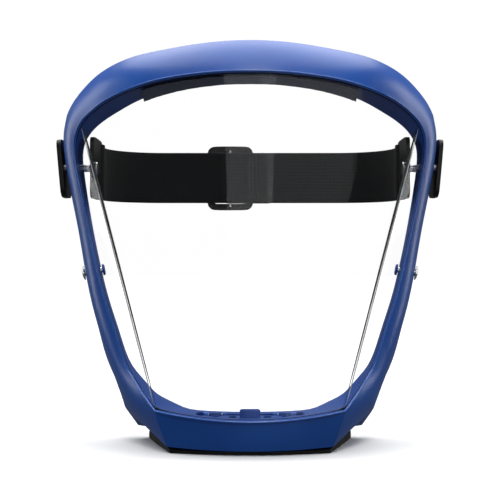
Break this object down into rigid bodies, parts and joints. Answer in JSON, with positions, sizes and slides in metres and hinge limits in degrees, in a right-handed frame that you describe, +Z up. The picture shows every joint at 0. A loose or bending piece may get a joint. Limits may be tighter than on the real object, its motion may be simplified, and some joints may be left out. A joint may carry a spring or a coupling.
{
  "type": "full-face safety shield",
  "caption": "Full-face shield with a moulded blue frame, folded clear visor, foam brow pad, chin filter with hinged cover, and elastic head strap with slide buckle.",
  "frame": {"origin": "on the resting surface, under the middle of the shield's box", "axes": "+Z up, -Y the way the wearer looks, +X the wearer's left"},
  "size_m": [0.257, 0.1762, 0.251],
  "materials": {
    "blue_plastic": "satin",
    "deep_blue_plastic": "satin",
    "clear_sheet": "clear gloss",
    "black_rubber": "matt",
    "grey_foam": "matt",
    "white_felt": "matt",
    "chrome": "polished",
    "steel": "brushed",
    "black_plastic": "satin",
    "black_webbing": "woven"
  },
  "bodies": {
    "frame": {"front_frame": "blue_plastic", "rear_frame": "deep_blue_plastic", "visor": "clear_sheet", "visor_gasket": "black_rubber", "forehead_pad": "grey_foam", "chin_foot": "black_rubber", "filter_tray": "blue_plastic", "filter_pad": "white_felt", "cover_pin_left": "steel", "cover_pin_right": "steel", "rivet_left": "chrome", "rivet_right": "chrome", "rivet_cap_left": "deep_blue_plastic", "rivet_cap_right": "deep_blue_plastic"},
    "headband": {"strap_clip_left": "black_plastic", "strap_clip_right": "black_plastic", "strap_plate_left": "black_plastic", "strap_plate_right": "black_plastic", "strap_pin_left": "steel", "strap_pin_right": "steel", "strap": "black_webbing"},
    "slider": {"slider_frame": "black_plastic", "slider_bar": "steel", "strap_end": "black_webbing"},
    "cover": {"filter_cover": "deep_blue_plastic"}
  },
  "joints": [
    {"name": "strap_swing", "type": "hinge", "parent": "frame", "child": "headband", "pos_m": [0, -0.01005, 0.177], "axis": [1, 0, 0], "range_deg": [-15, 15]},
    {"name": "slider_slide", "type": "slide", "parent": "headband", "child": "slider", "axis": [1, 0, 0], "range_m": [-0.02, 0.02]},
    {"name": "cover_hinge", "type": "hinge", "parent": "frame", "child": "cover", "pos_m": [0, -0.04545, 0.0182], "axis": [-1, 0, 0], "range_deg": [0, 95]}
  ]
}
